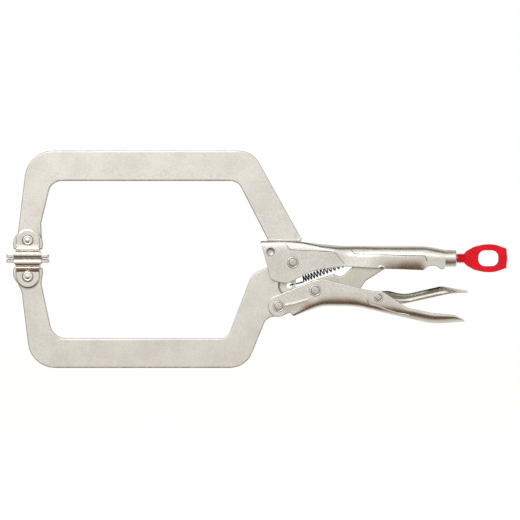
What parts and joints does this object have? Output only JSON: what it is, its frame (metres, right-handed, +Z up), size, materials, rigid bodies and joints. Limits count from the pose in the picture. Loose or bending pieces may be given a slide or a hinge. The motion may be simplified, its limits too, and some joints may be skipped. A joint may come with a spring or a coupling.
{
  "type": "locking c clamp",
  "caption": "Locking C clamp with flat wide-throat jaws, swivel pads, pressed toggle handles, a release lever and an adjusting screw with a red ring grip.",
  "frame": {"origin": "centre of the clamp's footprint, at the level of the lower jaw's straight edge on which the clamp stands", "axes": "+X from the pads towards the screw's ring grip, along the clamp's longest side; +Z up, from the lower jaw to the upper jaw; Y across the clamp's thickness, Y = 0 in its middle plane"},
  "size_m": [0.457, 0.025, 0.1984],
  "materials": {
    "jaw_nickel": "fine blasted satin nickel plate",
    "handle_nickel": "semi-bright nickel plate on pressed sheet",
    "polished_nickel": "bright nickel plate",
    "rivet_steel": "satin plated rivet",
    "black_spring": "black oxide spring wire",
    "screw_steel": "plated steel thread",
    "red_coating": "semi-gloss red coating"
  },
  "bodies": {
    "upper_frame": {"upper_handle": "handle_nickel", "upper_jaw": "jaw_nickel", "jaw_fixing_rivet": "rivet_steel", "main_pivot_rivet": "rivet_steel", "spring_anchor": "rivet_steel", "screw_nut": "screw_steel", "return_spring": "black_spring"},
    "lower_jaw": {"lower_jaw": "jaw_nickel"},
    "lower_handle": {"lower_handle": "handle_nickel", "handle_pivot_rivet": "rivet_steel", "link_rivet": "rivet_steel", "release_lever_rivet": "rivet_steel"},
    "toggle_link": {"toggle_link": "jaw_nickel"},
    "release_lever": {"release_lever": "polished_nickel"},
    "adjusting_screw": {"adjusting_screw": "screw_steel"},
    "ring_grip": {"ring_grip": "red_coating"},
    "upper_pad": {"upper_pad": "polished_nickel", "upper_pad_rivet": "polished_nickel"},
    "lower_pad": {"lower_pad": "polished_nickel", "lower_pad_rivet": "polished_nickel"}
  },
  "joints": [
    {"name": "jaw_open", "type": "hinge", "parent": "upper_frame", "child": "lower_jaw", "pos_m": [0.0328, 0, 0.0963], "axis": [0, -1, 0], "range_deg": [0, 30], "deforming": ["return_spring"]},
    {"name": "lower_handle_swing", "type": "hinge", "parent": "lower_jaw", "child": "lower_handle", "pos_m": [0.0198, 0, 0.0564], "axis": [0, 1, 0], "range_deg": [0, 73.5]},
    {"name": "link_swing", "type": "hinge", "parent": "lower_handle", "child": "toggle_link", "pos_m": [0.0531, 0, 0.0707], "axis": [0, -1, 0], "range_deg": [0, 74.1]},
    {"name": "release_press", "type": "hinge", "parent": "lower_handle", "child": "release_lever", "pos_m": [0.1109, 0, 0.0643], "axis": [0, 1, 0], "range_deg": [0, 11]},
    {"name": "ring_turn", "type": "hinge", "parent": "adjusting_screw", "child": "ring_grip", "pos_m": [0.2, 0, 0.1002], "axis": [1, 0, 0], "range_deg": [0, 7201]},
    {"name": "screw_travel", "type": "slide", "parent": "upper_frame", "child": "adjusting_screw", "axis": [1, 0, 0], "range_m": [0, 0.025]},
    {"name": "upper_pad_swivel", "type": "hinge", "parent": "upper_frame", "child": "upper_pad", "pos_m": [-0.2092, 0, 0.1165], "axis": [0, -1, 0], "range_deg": [0, 15]},
    {"name": "lower_pad_swivel", "type": "hinge", "parent": "lower_jaw", "child": "lower_pad", "pos_m": [-0.2092, 0, 0.0835], "axis": [0, 1, 0], "range_deg": [0, 15]}
  ],
  "couplings": [
    {"joint": "lower_handle_swing", "follows": "jaw_open", "ratio": 2.45},
    {"joint": "link_swing", "follows": "jaw_open", "ratio": 2.47},
    {"joint": "upper_pad_swivel", "follows": "jaw_open", "ratio": 0.5},
    {"joint": "lower_pad_swivel", "follows": "jaw_open", "ratio": 0.5},
    {"joint": "ring_turn", "follows": "screw_travel", "rad_per_m": 5026.5}
  ]
}
